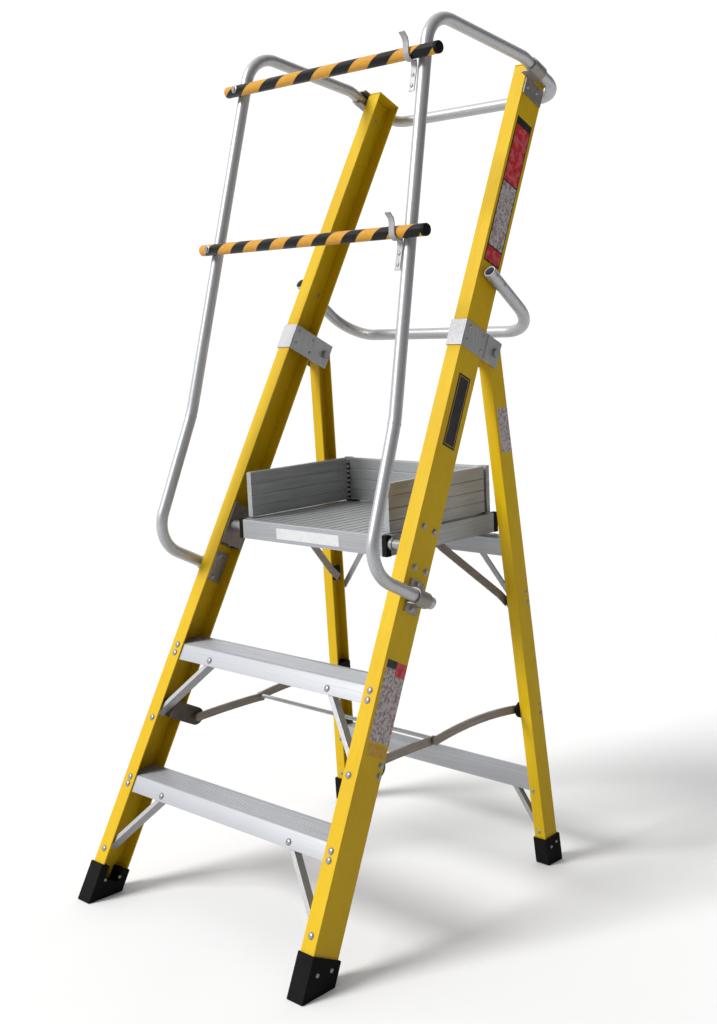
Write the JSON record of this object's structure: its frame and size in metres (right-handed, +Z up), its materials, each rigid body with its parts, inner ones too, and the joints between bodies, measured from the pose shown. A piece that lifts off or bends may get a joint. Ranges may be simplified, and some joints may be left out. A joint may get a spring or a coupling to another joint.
{
  "type": "platform step ladder",
  "caption": "Tall folding step ladder with yellow stiles, aluminium treads, a standing platform with toe boards, tubular guard rails, lift-up gate bars and rubber feet.",
  "frame": {"origin": "centre of the footprint on the floor, half way between the front and rear extremes of the opened ladder", "axes": "+Z up, -Y is the climbing side, +X is the climber's right"},
  "size_m": [0.812, 1.1415, 2.0666],
  "materials": {
    "stile_resin": "moulded glass-fibre channel, satin, faint long grain",
    "foot_rubber": "matt black moulded rubber",
    "gate_bar_sleeve": "amber sleeve with black spiral stripe",
    "stay_block_plastic": "grey brown moulded plastic",
    "black_plastic": "matt black moulded plastic",
    "stay_steel": "dull zinc plated strip",
    "clamp_aluminium": "pressed plate",
    "rail_tube": "bright drawn tube",
    "pin_steel": "turned steel",
    "aluminium": "mill finish extrusion"
  },
  "bodies": {
    "front_frame": {"front_stile_left": "stile_resin", "front_stile_right": "stile_resin", "front_foot_left": "foot_rubber", "front_foot_right": "foot_rubber", "tread_lower": "aluminium", "tread_upper": "aluminium", "brace_lower_left": "aluminium", "brace_lower_right": "aluminium", "brace_upper_left": "aluminium", "brace_upper_right": "aluminium", "hinge_bracket_left": "aluminium", "hinge_bracket_right": "aluminium", "handrail_left": "rail_tube", "handrail_right": "rail_tube", "top_rail": "rail_tube", "mid_rail": "rail_tube", "handrail_clamp_left": "clamp_aluminium", "handrail_clamp_right": "clamp_aluminium", "top_rail_clamp_left": "clamp_aluminium", "top_rail_clamp_right": "clamp_aluminium", "gate_hook_upper": "aluminium", "gate_hook_lower": "aluminium", "platform_bracket_left": "aluminium", "platform_bracket_right": "aluminium", "stay_block_left": "stay_block_plastic", "stay_block_right": "stay_block_plastic"},
    "rear_frame": {"rear_stile_left": "stile_resin", "rear_stile_right": "stile_resin", "rear_foot_left": "foot_rubber", "rear_foot_right": "foot_rubber", "rear_tread": "aluminium", "rear_crossbar": "aluminium", "rear_tread_brace_left": "aluminium", "rear_tread_brace_right": "aluminium", "rear_crossbar_brace_left": "aluminium", "rear_crossbar_brace_right": "aluminium", "hinge_pin_left": "pin_steel", "hinge_pin_right": "pin_steel", "stay_bracket_rear_left": "black_plastic", "stay_bracket_rear_right": "black_plastic"},
    "platform": {"platform_pin_left": "pin_steel", "platform_pin_right": "pin_steel", "platform_deck": "aluminium", "platform_front_edge": "aluminium", "platform_rear_edge": "aluminium", "platform_cap_left": "black_plastic", "platform_cap_right": "black_plastic", "toe_board_rear": "aluminium"},
    "toe_left": {"toe_board_left": "aluminium"},
    "toe_right": {"toe_board_right": "aluminium"},
    "struts": {"platform_strut_left": "aluminium", "platform_strut_right": "aluminium"},
    "stays_front": {"stay_front_left": "stay_steel", "stay_front_right": "stay_steel", "stay_tie_rod": "aluminium"},
    "stays_rear": {"stay_rear_left": "stay_steel", "stay_rear_right": "stay_steel"},
    "gate_upper": {"gate_bar_upper": "gate_bar_sleeve"},
    "gate_lower": {"gate_bar_lower": "gate_bar_sleeve"}
  },
  "joints": [
    {"name": "main_fold", "type": "hinge", "parent": "front_frame", "child": "rear_frame", "pos_m": [0, 0.23787, 1.297], "axis": [-1, 0, 0], "range_deg": [0, 24]},
    {"name": "platform_fold", "type": "hinge", "parent": "front_frame", "child": "platform", "pos_m": [0, -0.08713, 0.88], "axis": [1, 0, 0], "range_deg": [0, 48.1]},
    {"name": "strut_fold", "type": "hinge", "parent": "platform", "child": "struts", "pos_m": [0, 0.07987, 0.862], "axis": [-1, 0, 0], "range_deg": [0, 99.6]},
    {"name": "stay_front_fold", "type": "hinge", "parent": "front_frame", "child": "stays_front", "pos_m": [0, -0.23513, 0.402], "axis": [-1, 0, 0], "range_deg": [0, 91.8]},
    {"name": "stay_rear_fold", "type": "hinge", "parent": "rear_frame", "child": "stays_rear", "pos_m": [0, 0.29687, 0.403], "axis": [1, 0, 0], "range_deg": [0, 82.6]},
    {"name": "gate_upper_lift", "type": "hinge", "parent": "front_frame", "child": "gate_upper", "pos_m": [-0.291, 0.00272, 1.967], "axis": [0, -0.9859, 0.1676], "range_deg": [0, 95]},
    {"name": "gate_lower_lift", "type": "hinge", "parent": "front_frame", "child": "gate_lower", "pos_m": [-0.317, -0.09361, 1.577], "axis": [0, -0.9897, 0.1435], "range_deg": [0, 95]},
    {"name": "toe_left_fold", "type": "hinge", "parent": "platform", "child": "toe_left", "pos_m": [-0.2285, 0.26787, 0.96], "axis": [0, 0, 1], "range_deg": [0, 90]},
    {"name": "toe_right_fold", "type": "hinge", "parent": "platform", "child": "toe_right", "pos_m": [0.2285, 0.26787, 0.96], "axis": [0, 0, -1], "range_deg": [0, 70]}
  ],
  "couplings": [
    {"joint": "platform_fold", "follows": "main_fold", "ratio": 2},
    {"joint": "strut_fold", "follows": "main_fold", "ratio": 4.15},
    {"joint": "stay_front_fold", "follows": "main_fold", "ratio": 3.817},
    {"joint": "stay_rear_fold", "follows": "main_fold", "ratio": 3.43}
  ]
}
